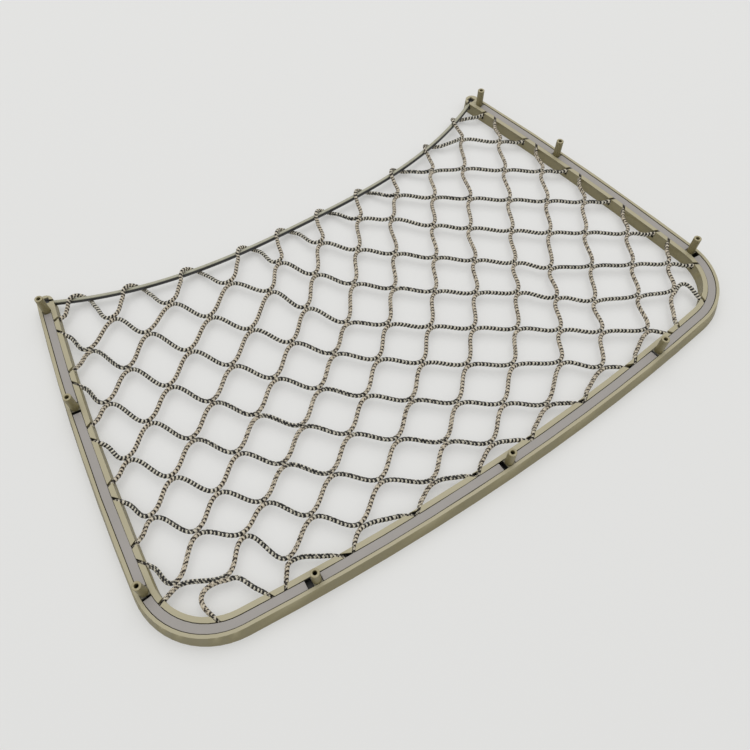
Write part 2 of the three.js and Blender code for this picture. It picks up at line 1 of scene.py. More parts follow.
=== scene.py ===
# %% [markdown]
# # A net pocket for the back of a seat
#
# The real object is a moulded U frame with nine hollow studs. A net of braided cord is stretched in it.
# The net's edge loops are pressed into a channel in the frame by plastic strips, and an elastic cord
# keeps the open top tight. We lay each cord along the line it takes, round the edges of the moulding
# softly, and give every piece a finish with its own grain.
#
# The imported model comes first. It fixes the size of the pocket and the place of every piece.

import math

import bmesh
import bpy
import numpy as np
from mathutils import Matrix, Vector


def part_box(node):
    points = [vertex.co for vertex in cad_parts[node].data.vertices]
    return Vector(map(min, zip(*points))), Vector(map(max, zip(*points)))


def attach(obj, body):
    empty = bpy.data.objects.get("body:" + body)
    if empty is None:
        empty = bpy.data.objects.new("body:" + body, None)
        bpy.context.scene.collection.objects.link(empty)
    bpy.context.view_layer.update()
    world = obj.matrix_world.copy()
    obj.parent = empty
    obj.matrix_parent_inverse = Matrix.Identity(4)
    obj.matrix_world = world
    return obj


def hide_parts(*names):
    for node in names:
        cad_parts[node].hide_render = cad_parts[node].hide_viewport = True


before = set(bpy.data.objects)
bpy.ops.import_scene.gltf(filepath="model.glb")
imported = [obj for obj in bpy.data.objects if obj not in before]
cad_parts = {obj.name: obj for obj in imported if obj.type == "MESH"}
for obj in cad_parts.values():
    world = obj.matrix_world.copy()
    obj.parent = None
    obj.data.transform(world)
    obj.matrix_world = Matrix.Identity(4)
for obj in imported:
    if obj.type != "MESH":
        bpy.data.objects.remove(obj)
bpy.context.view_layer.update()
MM = 0.001
BODY = "root"
print("nodes:", ", ".join(sorted(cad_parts)))

# %% [markdown]
# ## Camera
#
# A photograph can be matched by trying angles, or by working the camera out from the object. Here the
# frame is symmetrical and its studs stand in pairs, so the camera was worked out from those, and its
# place and turn are written down as they came.

# %% Camera at the photograph's view
CAMERA_PLACE = (-0.1516, -0.2194, 0.3731)
CAMERA_TURN = (30.80, 0.29, -34.24)
SENSOR_WIDTH = 36
FOCAL_LENGTH = 33.2

lens = bpy.data.cameras.new("camera")
lens.sensor_width = SENSOR_WIDTH
lens.lens = FOCAL_LENGTH
camera = bpy.data.objects.new("camera", lens)
camera.location = CAMERA_PLACE
camera.rotation_euler = [math.radians(angle) for angle in CAMERA_TURN]
bpy.context.scene.collection.objects.link(camera)
bpy.context.scene.camera = camera

# %% [markdown]
# ## Floor and light
#
# The pocket lies on a pale sheet in soft light from above and behind. One wide lamp gives the soft
# shadows below the cords, and a pale world fills them. The world is darker towards the horizon, so
# that upright walls fall into shade. The sheet glows a little, which stands for the light that a white
# room throws back into its shadows. The plain view transform keeps a pale floor pale, where a
# film-like one would grey it.

# %% Floor, lamp and world
FLOOR_HALF = 4.0
FLOOR_COLOUR = (0.52, 0.52, 0.51, 1)
FLOOR_ROUGHNESS = 0.9
FLOOR_GLOW = 0.275
SKY_COLOUR = (1, 1, 0.995, 1)
HORIZON_COLOUR = (0.1, 0.1, 0.1, 1)
WORLD_STRENGTH = 0.98
LAMP_PLACE = Vector((0.9, 1.4, 3.2))
LAMP_SIZE = 3.4
LAMP_POWER = 42

bpy.context.scene.view_settings.view_transform = "Standard"


def plain_material(name, colour, roughness):
    """A material of one colour, and the shader that a finish builds on."""
    material = bpy.data.materials.new(name)
    material.use_nodes = True
    shader = material.node_tree.nodes["Principled BSDF"]
    shader.inputs["Base Color"].default_value = colour
    shader.inputs["Roughness"].default_value = roughness
    return material, shader


def new_piece(name, shape, material):
    """Turns a bmesh into an object at the origin, in metres."""
    mesh = bpy.data.meshes.new(name)
    shape.to_mesh(mesh)
    shape.free()
    mesh.materials.append(material)
    piece = bpy.data.objects.new(name, mesh)
    bpy.context.scene.collection.objects.link(piece)
    return piece


floor_shape = bmesh.new()
bmesh.ops.create_grid(floor_shape, x_segments=1, y_segments=1, size=FLOOR_HALF)
floor_paint, floor_shader = plain_material("floor_paint", FLOOR_COLOUR, FLOOR_ROUGHNESS)
floor_shader.inputs["Emission Color"].default_value = SKY_COLOUR
floor_shader.inputs["Emission Strength"].default_value = FLOOR_GLOW
floor = new_piece("floor", floor_shape, floor_paint)

lamp_data = bpy.data.lights.new("soft_lamp", "AREA")
lamp_data.size = LAMP_SIZE
lamp_data.energy = LAMP_POWER
lamp = bpy.data.objects.new("soft_lamp", lamp_data)
lamp.location = LAMP_PLACE
lamp.rotation_euler = (-LAMP_PLACE).to_track_quat("-Z", "Y").to_euler()
bpy.context.scene.collection.objects.link(lamp)

world = bpy.data.worlds.new("pale_world")
world.use_nodes = True
sky = world.node_tree
direction = sky.nodes.new("ShaderNodeTexCoord")
height = sky.nodes.new("ShaderNodeSeparateXYZ")
shade = sky.nodes.new("ShaderNodeValToRGB")
shade.color_ramp.elements[0].color = HORIZON_COLOUR
shade.color_ramp.elements[1].color = SKY_COLOUR
sky.links.new(direction.outputs["Generated"], height.inputs[0])
sky.links.new(height.outputs["Z"], shade.inputs["Fac"])
sky.links.new(shade.outputs["Color"], sky.nodes["Background"].inputs["Color"])
sky.nodes["Background"].inputs["Strength"].default_value = WORLD_STRENGTH
bpy.context.scene.world = world

# %% [markdown]
# ## The line of the rail
#
# The net's edge follows the rail, so the lay of the cords starts with the rail's plan. It is three
# arcs that run into each other: a shallow bow along the bottom, a round corner, and a long shallow
# side. The left half mirrors the right. A length along this line and an offset from it name any
# place on the frame. All sizes are in millimetres until a mesh is made.

# %% Rail plan
RAIL_HEIGHT = 8.7
CHANNEL_WIDTH = 5.6
INNER_RIM = 3.0
INNER_EDGE = -(CHANNEL_WIDTH / 2 + INNER_RIM)
OUTER_EDGE = 7.0
END_STUD = Vector((180, 0))
UPPER_STUD = Vector((191.8, -78.5))
LOWER_STUD = Vector((203.4, -201.9))
BOTTOM_STUD_X = 125.8
BOTTOM_Y = -252.3
BOTTOM_BOW_RADIUS = 1484
CORNER_RADIUS = 40
PAST_THE_END = 500.0
HALVINGS = 50
DOWN = -math.pi / 2


def circle_through(a, b, c):
    """The centre and radius of the circle through three places."""
    d = 2 * (a.x * (b.y - c.y) + b.x * (c.y - a.y) + c.x * (a.y - b.y))
    aa, bb, cc = a.length_squared, b.length_squared, c.length_squared
    x = (aa * (b.y - c.y) + bb * (c.y - a.y) + cc * (a.y - b.y)) / d
    y = (aa * (c.x - b.x) + bb * (a.x - c.x) + cc * (b.x - a.x)) / d
    centre = Vector((x, y))
    return centre, (centre - a).length


def corner_centre(first, second, radius):
    """Where circles drawn a corner radius inside both arcs cross, the lower of the two."""
    r1, r2 = first[1] - radius, second[1] - radius
    line = second[0] - first[0]
    along = (r1 * r1 - r2 * r2 + line.length_squared) / (2 * line.length)
    across = math.sqrt(r1 * r1 - along * along)
    unit = line.normalized()
    middle = first[0] + unit * along
    normal = Vector((-unit.y, unit.x))
    return min(middle + normal * across, middle - normal * across, key=lambda point: point.y)


def heading(start, end):
    """The angle of the way from one place to another."""
    return math.atan2(end.y - start.y, end.x - start.x)


side_arc = circle_through(END_STUD, UPPER_STUD, LOWER_STUD)
bottom_arc = (Vector((0, BOTTOM_Y + BOTTOM_BOW_RADIUS)), BOTTOM_BOW_RADIUS)
corner_arc = (corner_centre(bottom_arc, side_arc, CORNER_RADIUS), CORNER_RADIUS)
corner_start = heading(bottom_arc[0], corner_arc[0])
corner_end = heading(side_arc[0], corner_arc[0])
bottom_length = (corner_start - DOWN) * BOTTOM_BOW_RADIUS
corner_length = (corner_end - corner_start) * CORNER_RADIUS


def rail_point(length, offset=0.0, z=0.0):
    """A place on the frame: how far along the rail from the middle of its bottom, and how far outside it."""
    distance = abs(length)
    if distance <= bottom_length:
        arc, angle = bottom_arc, DOWN + distance / BOTTOM_BOW_RADIUS
    elif distance <= bottom_length + corner_length:
        arc, angle = corner_arc, corner_start + (distance - bottom_length) / CORNER_RADIUS
    else:
        arc, angle = side_arc, corner_end + (distance - bottom_length - corner_length) / side_arc[1]
    x = arc[0].x + (arc[1] + offset) * math.cos(angle)
    y = arc[0].y + (arc[1] + offset) * math.sin(angle)
    return Vector((math.copysign(x, length), y, z))


def length_where(reached):
    """How far along the right half the rail first passes a test, found by halving."""
    low, high = 0.0, PAST_THE_END
    for _ in range(HALVINGS):
        middle = (low + high) / 2
        if reached(rail_point(middle)):
            high = middle
        else:
            low = middle
    return (low + high) / 2


def length_at_height(y):
    return length_where(lambda point: point.y > y)


def length_across(x):
    return length_where(lambda point: point.x > x or point.y > corner_arc[0].y)


stud_reaches = [
    length_across(BOTTOM_STUD_X),
    length_at_height(LOWER_STUD.y),
    length_at_height(UPPER_STUD.y),
    length_at_height(END_STUD.y),
]
stud_lengths = sorted([0.0, *stud_reaches, *(-reach for reach in stud_reaches)])
frame_low_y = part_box("frame")[0].y / MM
TO_PART = Vector((0, frame_low_y - rail_point(0, OUTER_EDGE).y, RAIL_HEIGHT))
print("rail from end stud to end stud, mm:", round(2 * stud_reaches[-1], 1))

# %% [markdown]
# ## The lay of the net
#
# A knotless net is twelve zigzag cords. Each is caught to the next where their bends meet, which makes
# the diamonds. A few joints were read off the photograph, where the net hangs unevenly. The rest are
# settled as in real cloth: each joint is drawn to the weighted middle of its four neighbours until
# nothing moves. A little more pull towards the bottom and the edges gives the larger diamonds there.

# %% Joints of the net
ELASTIC_Z = -3.2
ELASTIC_LOW_Y = -27.1
ELASTIC_RISE = 32.6
ELASTIC_ENTRY_X = 173
ELASTIC_POWER = 2.75
ZIGZAGS = 12
LAST_PLACE = 9
PULL_GROWTH = 1.07
EDGE_PULL = 0.35
SETTLING_ROUNDS = 400
FIRST_SPACING = 38
TOP_LOOPS = [-158, -125, -87.5, -47, -17, 15.5, 49.5, 83, 119, 155]
SIDE_LOOPS = [-15, -57, -99.8, -140.8, -181, -212.8]
SIDE_SPREAD = 5.3
BOTTOM_LOOPS = [(20, 1.7), (62.3, 2.2), (105, 3.7), (146, 4.5), (180.5, 0)]
PULLED_JOINTS = {
    (1, 9): (145.4, -22.4),
    (2, 1): (-132.8, -51.6),
    (2, 3): (-51.2, -66.8),
    (2, 6): (52.7, -59.7),
    (2, 8): (126.3, -48.6),
    (4, 4): (-22.9, -117.2),
    (4, 7): (93.0, -98.0),
    (7, 7): (83.9, -161.0),
    (7, 8): (116.2, -157.5),
    (7, 9): (157.5, -147.4),
    (9, 8): (121.2, -194.8),
    (10, 0): (-187.8, -206.9),
    (10, 1): (-146.0, -203.4),
    (10, 6): (70.8, -218.0),
    (11, 1): (-164.1, -219.0),
    (11, 2): (-132.3, -229.1),
    (11, 3): (-90.5, -235.1),
    (11, 7): (89.5, -235.1),
    (11, 8): (133.3, -231.1),
    (11, 9): (170.1, -218.8),
}


def elastic_point(x):
    rise = ELASTIC_RISE * (abs(x) / ELASTIC_ENTRY_X) ** ELASTIC_POWER
    return Vector((x, ELASTIC_LOW_Y + rise, ELASTIC_Z))


def last_place(row):
    """The number of a row's last joint. Odd rows have one joint more, at the sides."""
    return LAST_PLACE if row % 2 == 0 else LAST_PLACE + 1


def side_loop(row):
    """Where an edge loop's middle lies along the rail, and how far its two legs stand from it."""
    spread = 0 if row == ZIGZAGS - 1 else SIDE_SPREAD
    return length_at_height(SIDE_LOOPS[(row - 1) // 2]), spread


def bottom_loop(place):
    half = len(BOTTOM_LOOPS)
    step, sign = (half - 1 - place, -1) if place < half else (place - half, 1)
    across, spread = BOTTOM_LOOPS[step]
    return sign * length_across(across), spread


def held_places():
    """The joints and edge loops whose places are known."""
    held = {}
    for place, x in enumerate(TOP_LOOPS):
        held[0, place] = elastic_point(x).to_2d()
    for row in range(1, ZIGZAGS, 2):
        for place, sign in ((0, -1), (LAST_PLACE + 1, 1)):
            held[row, place] = rail_point(sign * side_loop(row)[0]).to_2d()
    for place in range(LAST_PLACE + 1):
        held[ZIGZAGS, place] = rail_point(bottom_loop(place)[0]).to_2d()
    for key, spot in PULLED_JOINTS.items():
        held[key] = Vector(spot)
    return held


def across_net(row, place):
    """How far across the net a joint is, from minus one at the left edge to one at the right."""
    return (2 * place - last_place(row)) / (LAST_PLACE + 1)


def ties_of(row, place):
    """The four joints that a joint is tied to, and how hard each pulls at it."""
    shift = 0 if row % 2 == 0 else -1
    ties = []
    for next_row in (row - 1, row + 1):
        for next_place in (place + shift, place + shift + 1):
            reach = (across_net(row, place) + across_net(next_row, next_place)) / 2
            pull = PULL_GROWTH ** min(row, next_row) * (1 + EDGE_PULL * reach * reach)
            ties.append(((next_row, next_place), pull))
    return ties


def lay_net():
    """Lets every joint settle between its neighbours, round those whose places are known."""
    held = held_places()
    places = dict(held)
    free = []
    for row in range(1, ZIGZAGS):
        for place in range(last_place(row) + 1):
            if (row, place) in held:
                continue
            y = ELASTIC_LOW_Y + (row / ZIGZAGS) * (BOTTOM_Y - ELASTIC_LOW_Y)
            places[row, place] = Vector(((place - last_place(row) / 2) * FIRST_SPACING, y))
            ties = ties_of(row, place)
            free.append(((row, place), ties, sum(pull for _, pull in ties)))
    for _ in range(SETTLING_ROUNDS):
        for key, ties, total in free:
            spot = Vector((0, 0))
            for other, pull in ties:
                spot += places[other] * pull
            places[key] = spot / total
    return places


joints = lay_net()
print("joints and edge loops:", len(joints))

# %% [markdown]
# ## The way each cord runs
#
# At a joint the cords lie level for a few millimetres and then swing away in a soft S, so each leg is
# a Bezier curve that leaves its joint sideways. At the rim a leg dips through its notch into the
# channel, and the notch leans towards the joint that the leg comes from. At the top it climbs over
# the elastic, wraps round it and comes out beneath. A leg that ends in a lower corner hangs slack: it
# swings up and out from its joint, and then drops into the rim.

# %% Legs, notches and loops
CORD_DIAMETER = 2.7
NET_Z = -3.0
CHANNEL_CORD_Z = -4.3
JOINT_HALF = 1.25
SHOULDER = 8
LEAST_REACH = 0.4
SLACK_SHOULDER = 12
SLACK_LIFT = 0.5
SLACK_LEAN = 0.3
LEG_SAMPLES = 18
NOTCH_WIDTH = 3.8
NOTCH_OVERRUN = 3.4
NOTCH_LEAN = 0.8
RIM_CLEAR = 4.6
RIM_Z = -2.1
WALL_Z = -3.7
LINK_OVERLAP = 0.8
LOOP_RADIUS = 3.3
LOOP_TURNS = range(50, 300, 12)
LOOP_LEAN = 8
LOOP_APPROACH = 12
LOOP_FOOT = 5.2
CORNER_SAMPLES = 24
CORNER_OVERRUN = 2
LEFT = Vector((-1, 0, 0))
RIGHT = Vector((1, 0, 0))


def stop(point, pull=None, slack=False):
    """One end of a leg: where it is, which way the cord leaves it, and whether the leg hangs slack."""
    return {"point": point, "pull": pull, "slack": slack}


def handle(end, way, reach, lift):
    """The point that a leg's curve is drawn towards as it leaves one of its ends."""
    direction = (end["pull"] or way).copy()
    if not end["slack"]:
        direction.y += lift
    return end["point"] + direction.normalized() * reach


def leg(start, end):
    """The points of the soft S between two stops."""
    slack = start["slack"] or end["slack"]
    lift = SLACK_LIFT if slack else 0
    way = end["point"] - start["point"]
    reach = SLACK_SHOULDER if slack else min(SHOULDER, LEAST_REACH * way.length)
    first = handle(start, way, reach, lift)
    second = handle(end, -way, reach, lift)
    points = []
    for step in range(1, LEG_SAMPLES):
        t = step / LEG_SAMPLES
        s = 1 - t
        spot = start["point"] * s**3 + first * (3 * s * s * t)
        points.append(spot + second * (3 * s * t * t) + end["point"] * t**3)
    return points


def crossing(length, joint, lean=NOTCH_LEAN):
    """How an edge leg crosses the inner rim: its middle, its way, and how far it runs to either face."""
    middle = rail_point(length, INNER_EDGE + INNER_RIM / 2)
    outward = rail_point(length, 1) - rail_point(length)
    straight = (middle - joint.to_3d()).normalized()
    way = outward.lerp(straight, lean).normalized()
    reach = INNER_RIM / 2 / way.dot(outward)
    return {"middle": middle, "way": way, "reach": reach, "length": length}


def crossing_spot(notch, distance, z):
    point = notch["middle"] + notch["way"] * distance
    return Vector((point.x, point.y, z))


def at_rim(notch):
    """Where an edge leg stops, just short of the inner rim."""
    return stop(crossing_spot(notch, -notch["reach"] - RIM_CLEAR, NET_Z))


def through_notch(notch):
    """The points that take a cord down through its notch and into the channel."""
    reach = notch["reach"]
    return [
        crossing_spot(notch, -reach, RIM_Z),
        crossing_spot(notch, reach, WALL_Z),
        crossing_spot(notch, reach * (1 + CHANNEL_WIDTH / INNER_RIM), CHANNEL_CORD_Z),
    ]


def side_crossing(row, place, above):
    """Where an edge leg runs through a side's inner rim: one above its loop, minus one below it."""
    length, spread = side_loop(row)
    sign = -1 if place == 0 else 1
    return crossing(sign * (length + above * spread), joints[row - above, min(place, LAST_PLACE)])


def bottom_crossing(place, onward):
    """Where a leg runs through the bottom's inner rim, on its way to the left or, onward, to the right."""
    length, spread = bottom_loop(place)
    if spread == 0:
        above = rail_point(length, INNER_EDGE + INNER_RIM / 2)
        above += Vector((math.copysign(SLACK_LEAN, length), 1, 0))
        return crossing(length, above, 1)
    joint = joints[ZIGZAGS - 1, place + 1 if onward else place]
    return crossing(length + spread if onward else length - spread, joint)


def around_elastic(x):
    """A loop over the elastic and back beneath it, which leans along it as it comes round."""
    centre = elastic_point(x)
    along = (elastic_point(x + 1) - elastic_point(x - 1)).normalized()
    outward = Vector((-along.y, along.x, 0))

    def spot(degrees, radius):
        turn = math.radians(degrees)
        aside = LOOP_LEAN * math.sin((turn - math.pi) / 2)
        point = centre - outward * (radius * math.cos(turn)) + along * aside
        point.z = ELASTIC_Z + radius * math.sin(turn)
        return point

    through = [spot(degrees, LOOP_RADIUS) for degrees in LOOP_TURNS]
    first = spot(LOOP_APPROACH, LOOP_FOOT)
    last = spot(360 - LOOP_APPROACH, LOOP_FOOT)
    return stop(first), through, stop(last)


def bottom_bend(place):
    down = bottom_crossing(place, False)
    up = bottom_crossing(place, True)
    if 0 < place < LAST_PLACE:
        return at_rim(down), through_notch(down) + through_notch(up)[::-1], at_rim(up)
    end = at_rim(up)
    end["pull"] = -up["way"]
    end["slack"] = True
    through = through_notch(up)
    return end, (through[::-1] if place == 0 else through), end


def side_bend(zigzag, row, place):
    length, spread = side_loop(row)
    sign = -1 if place == 0 else 1
    above = 1 if row > zigzag else -1
    notch = side_crossing(row, place, above)
    through = through_notch(notch)
    if spread > 0:
        through.append(rail_point(sign * (length - above * LINK_OVERLAP), 0, CHANNEL_CORD_Z))
    if place == 0:
        through.reverse()
    return at_rim(notch), through, at_rim(notch)


def bend(zigzag, row, place):
    """What a zigzag does at one of its bends: how it arrives, what it runs through, how it leaves."""
    if row == 0:
        return around_elastic(TOP_LOOPS[place])
    if row == ZIGZAGS:
        return bottom_bend(place)
    if row % 2 == 1 and place in (0, LAST_PLACE + 1):
        return side_bend(zigzag, row, place)
    x, y = joints[row, place]
    point = Vector((x, y + (JOINT_HALF if row > zigzag else -JOINT_HALF), NET_Z))
    return stop(point, LEFT), [], stop(point, RIGHT)


def zigzag_stops(zigzag):
    """The row and place of each bend of one zigzag, from left to right."""
    stops = []
    for place in range(LAST_PLACE + 2):
        pair = [(zigzag, place), (zigzag + 1, place)]
        stops += pair[::-1] if zigzag % 2 == 0 else pair
    stops.pop()
    return stops[1:-1] if zigzag == ZIGZAGS - 1 else stops


def zigzag_route(zigzag):
    """The points of one zigzag cord, and for each whether its leg climbs to the right."""
    stops = zigzag_stops(zigzag)
    bends = [bend(zigzag, row, place) for row, place in stops]
    points = list(bends[0][1])
    climbs = [0.5] * len(points)
    for before, after, old, new in zip(bends, bends[1:], stops, stops[1:]):
        legs = leg(before[2], after[0])
        points += [before[2]["point"], *legs, after[0]["point"], *after[1]]
        climb = 1.0 if new[0] < old[0] else 0.0
        climbs += [climb] * (len(legs) + 2) + [0.5] * len(after[1])
    return points, climbs


def corner_route(sign):
    """The edge cord in the channel, round one of the lower corners."""
    start = side_loop(ZIGZAGS - 1)[0]
    end = length_across(BOTTOM_LOOPS[-1][0])
    step = (end - start) / CORNER_SAMPLES
    steps = range(-CORNER_OVERRUN, CORNER_SAMPLES + CORNER_OVERRUN + 1)
    lengths = [start + i * step for i in steps]
    points = [rail_point(sign * length, 0, CHANNEL_CORD_Z) for length in lengths]
    return points, [0.5] * len(points)


# %% [markdown]
# ## Braided cord
#
# A round cord could be a bevelled curve with a picture of a braid on it. Here the curve gives the tube
# and its rings, and then each ring is pushed in and out where the strands of a braid cross, so that
# the outline is knobbly as on real cord. The tube's own map tells the finish how far along and how far
# round each point is. Even steps along the line keep the braid the same size everywhere.

# %% A tube along a line, with a map
CORD_STEP = 0.42
ROUNDING = 1.1
LEAST_GAP = 1e-4
FEWEST_POINTS = 8
WINDOW_REACH = 3
BRAID_PITCH = 2.25
BRAID_COLUMNS = 4
BRAID_RELIEF = 0.12
BRAID_DIP = 0.8
FEWEST_SIDES = 4
SIDE_RESOLUTION = 6


def distance_along(line):
    """How far along a line each of its points is."""
    return np.concatenate(([0], np.cumsum(np.linalg.norm(np.diff(line, axis=0), axis=1))))


def even_line(points, values, step, rounding):
    """Resamples a line at even steps and rounds its corners. The values follow the points."""
    line = np.array([tuple(point) for point in points])
    gaps = np.linalg.norm(np.diff(line, axis=0), axis=1)
    keep = np.concatenate(([True], gaps > LEAST_GAP))
    line, values = line[keep], np.array(values)[keep]
    far = distance_along(line)
    count = max(int(far[-1] / step), FEWEST_POINTS)
    places = np.linspace(0, far[-1], count)
    even = np.stack([np.interp(places, far, line[:, axis]) for axis in range(3)], axis=1)
    level = np.interp(places, far, values)
    half = int(WINDOW_REACH * rounding / step)
    window = np.exp(-0.5 * (np.arange(-half, half + 1) * step / rounding) ** 2)
    window /= window.sum()

    def soften(column):
        before = 2 * column[0] - column[half:0:-1]
        after = 2 * column[-1] - column[-2 : -half - 2 : -1]
        return np.convolve(np.concatenate((before, column, after)), window, mode="valid")

    return np.stack([soften(even[:, axis]) for axis in range(3)], axis=1), soften(level)


def tubes(lines, radius, resolution):
    """Tubes with open ends along some lines, as one mesh in millimetres, in rings of equal size."""
    curve = bpy.data.curves.new("lines", "CURVE")
    curve.dimensions = "3D"
    curve.fill_mode = "FULL"
    curve.bevel_depth = radius
    curve.bevel_resolution = resolution
    for line in lines:
        spline = curve.splines.new("POLY")
        spline.points.add(len(line) - 1)
        spline.points.foreach_set("co", np.column_stack((line, np.ones(len(line)))).ravel())
    holder = bpy.data.objects.new("lines", curve)
    mesh = bpy.data.meshes.new_from_object(holder)
    bpy.data.objects.remove(holder)
    bpy.data.curves.remove(curve)
    return mesh


def add_map(mesh, sides, along):
    """Gives tubes a map: U runs once round, V counts the braid's pitches along."""
    corners = np.zeros(len(mesh.loops), np.int32)
    mesh.loops.foreach_get("vertex_index", corners)
    quads = corners.reshape(-1, 4)
    around = (quads % sides) / sides
    over_seam = (around == 0) & (around.max(axis=1) > 0.5)[:, None]
    around[over_seam] = 1
    layer = mesh.uv_layers.new(name="round_and_along")
    layer.data.foreach_set("uv", np.column_stack((around.ravel(), along[corners // sides])).ravel())


def braid(lines, radius, resolution, pitch, columns, relief):
    """Tubes whose rings swell and shrink with the crossings of a braid, and each ring's own number."""
    mesh = tubes(lines, radius, resolution)
    sides = FEWEST_SIDES + 2 * resolution
    centres = np.concatenate(lines)
    if len(mesh.vertices) != sides * len(centres):
        raise ValueError("the tubes' rings don't match their lines")
    along = np.concatenate([distance_along(line) for line in lines]) / pitch
    spots = np.zeros(len(mesh.vertices) * 3)
    mesh.vertices.foreach_get("co", spots)
    spots = spots.reshape(-1, 3)
    ring = np.arange(len(spots)) // sides
    around = columns / 2 * (np.arange(len(spots)) % sides) / sides
    rising = np.sin(np.pi * (around + along[ring]))
    falling = np.sin(np.pi * (around - along[ring]))
    swell = np.abs(rising * falling) - BRAID_DIP
    outward = (spots - centres[ring]) / radius
    spots += outward * (relief * swell)[:, None]
    mesh.vertices.foreach_set("co", (spots * MM).ravel())
    add_map(mesh, sides, along)
    return mesh, ring


def keep_values(mesh, name, values, domain="POINT"):
    """Keeps a number at each point or face corner of a mesh, which its finish reads by name."""
    mesh.attributes.new(name, "FLOAT", domain).data.foreach_set("value", values)


# %% [markdown]
# ## Finishes for the cords
#
# The net's cord is cream yarn with black strands, which show as slanted stripes across it. We could
# draw them as a picture, but counts along the cord's own map give them at any size. A count that
# grows along the cord and round it winds the stripes, and a second count breaks them where the strands
# dive. The legs that climb to the right get painted light: they are browner, with fewer flecks, and
# brown ones in place of black, as the same cord shows in the light on legs of that slant. The elastic
# has a fine plain braid with a satin sheen, a painted highlight on its crossings, and painted shade,
# almost black, on the side towards the net.

# %% Node helpers
MIX_SOCKETS = (0, 6, 7)


def node(tree, kind, **settings):
    """Adds a node and sets its options."""
    made = tree.nodes.new(kind)
    for name, value in settings.items():
        setattr(made, name, value)
    return made


def calculate(tree, operation, first, second=None, third=None):
    """A Math node's result. Each input is a number or another node's output."""
    made = node(tree, "ShaderNodeMath", operation=operation)
    for socket, value in zip(made.inputs, (first, second, third)):
        if value is None:
            continue
        if isinstance(value, (int, float)):
            socket.default_value = value
        else:
            tree.links.new(value, socket)
    return made.outputs[0]


def blend_colour(tree, share, first, second):
    """The first colour where the share is nothing, the second where it is one."""
    made = node(tree, "ShaderNodeMix", data_type="RGBA")
    for number, value in zip(MIX_SOCKETS, (share, first, second)):
        socket = made.inputs[number]
        if isinstance(value, (int, float, tuple)):
            socket.default_value = value
        else:
            tree.links.new(value, socket)
    return made.outputs[2]


def noise(tree, coordinates, scale, detail=2.0):
    made = node(tree, "ShaderNodeTexNoise")
    made.inputs["Scale"].default_value = scale
    made.inputs["Detail"].default_value = detail
    tree.links.new(coordinates, made.inputs["Vector"])
    return made.outputs["Fac"]


def soft_step(tree, value, low, high):
    """Climbs from nothing to one as a value goes from low to high."""
    made = node(tree, "ShaderNodeMapRange", interpolation_type="SMOOTHSTEP")
    made.inputs["From Min"].default_value = low
    made.inputs["From Max"].default_value = high
    tree.links.new(value, made.inputs["Value"])
    return made.outputs["Result"]


def kept_value(tree, name):
    return node(tree, "ShaderNodeAttribute", attribute_name=name).outputs["Fac"]


def add_bump(tree, shader, height, distance):
    made = node(tree, "ShaderNodeBump")
    made.inputs["Distance"].default_value = distance
    tree.links.new(height, made.inputs["Height"])
    tree.links.new(made.outputs["Normal"], shader.inputs["Normal"])


def cord_map(tree):
    """How far round a cord and how far along it a point is, from the tube's own map."""
    source = node(tree, "ShaderNodeUVMap", uv_map="round_and_along")
    parts = node(tree, "ShaderNodeSeparateXYZ")
    tree.links.new(source.outputs["UV"], parts.inputs[0])
    return parts.outputs["X"], parts.outputs["Y"]


def braid_counts(tree, around, along, columns):
    """The two slanted counts of a braid."""
    columned = calculate(tree, "MULTIPLY", around, columns / 2)
    return calculate(tree, "ADD", columned, along), calculate(tree, "SUBTRACT", columned, along)


def hump(tree, count):
    """One where a count is half way between whole numbers, nothing at the whole numbers."""
    turned = calculate(tree, "SINE", calculate(tree, "MULTIPLY", count, math.pi))
    return calculate(tree, "ABSOLUTE", turned)


# %% Cord finishes
PALE_CREAM = (0.80, 0.76, 0.63, 1)
GREY_CREAM = (0.62, 0.59, 0.49, 1)
TAN = (0.56, 0.47, 0.34, 1)
PALE_TAN = (0.78, 0.71, 0.57, 1)
BLACK_YARN_AND_SHADE = (0.006, 0.006, 0.006, 1)
LIT_BROWN_YARN = (0.03, 0.02, 0.012, 1)
NET_ROUGHNESS = 0.78
NET_SHEEN = 0.1
STRIPE_TURNS = 1
STRIPE_EDGE = (0.39, 0.54)
FLECK_SHARE = 0.5
FLECK_SWING = 0.055
TWIST = 0.8
TWIST_SCALE = 14
UNEVENNESS = 0.42
UNEVEN_SCALE = 560
PATCH_SCALE = 900
LEG_THINNING = 0.08
YARN_LINES = 5
YARN_SHARE = 0.35
NET_BUMP = 0.0002
SHINE = 0.8
OLIVE_GREY = (0.29, 0.28, 0.19, 1)
PALE_OLIVE = (0.46, 0.45, 0.34, 1)
ELASTIC_COLUMNS = 12
ELASTIC_ROUGHNESS = 0.38
ELASTIC_SHEEN = 0.25
ELASTIC_SHEEN_ROUGHNESS = 0.4
ELASTIC_PATCH_SCALE = 260
ELASTIC_HIGHLIGHT_SHARE = 0.35
ELASTIC_BUMP = 0.00006
NET_SIDE_SHADE = (0.4, 0.75)


def stripes(tree, around, along):
    """How black the cord is: stripes that wind round it, broken into staggered flecks."""
    count = calculate(tree, "MULTIPLY_ADD", around, STRIPE_TURNS, along)
    rising, falling = braid_counts(tree, around, along, BRAID_COLUMNS)
    flecks = calculate(tree, "MULTIPLY", hump(tree, rising), hump(tree, falling))
    swing = calculate(tree, "SINE", calculate(tree, "MULTIPLY", along, math.pi))
    shifted = calculate(tree, "MULTIPLY", swing, FLECK_SWING)
    broken = calculate(tree, "MULTIPLY_ADD", flecks, FLECK_SHARE, shifted)
    return calculate(tree, "MULTIPLY_ADD", hump(tree, count), 1 - FLECK_SHARE, broken)


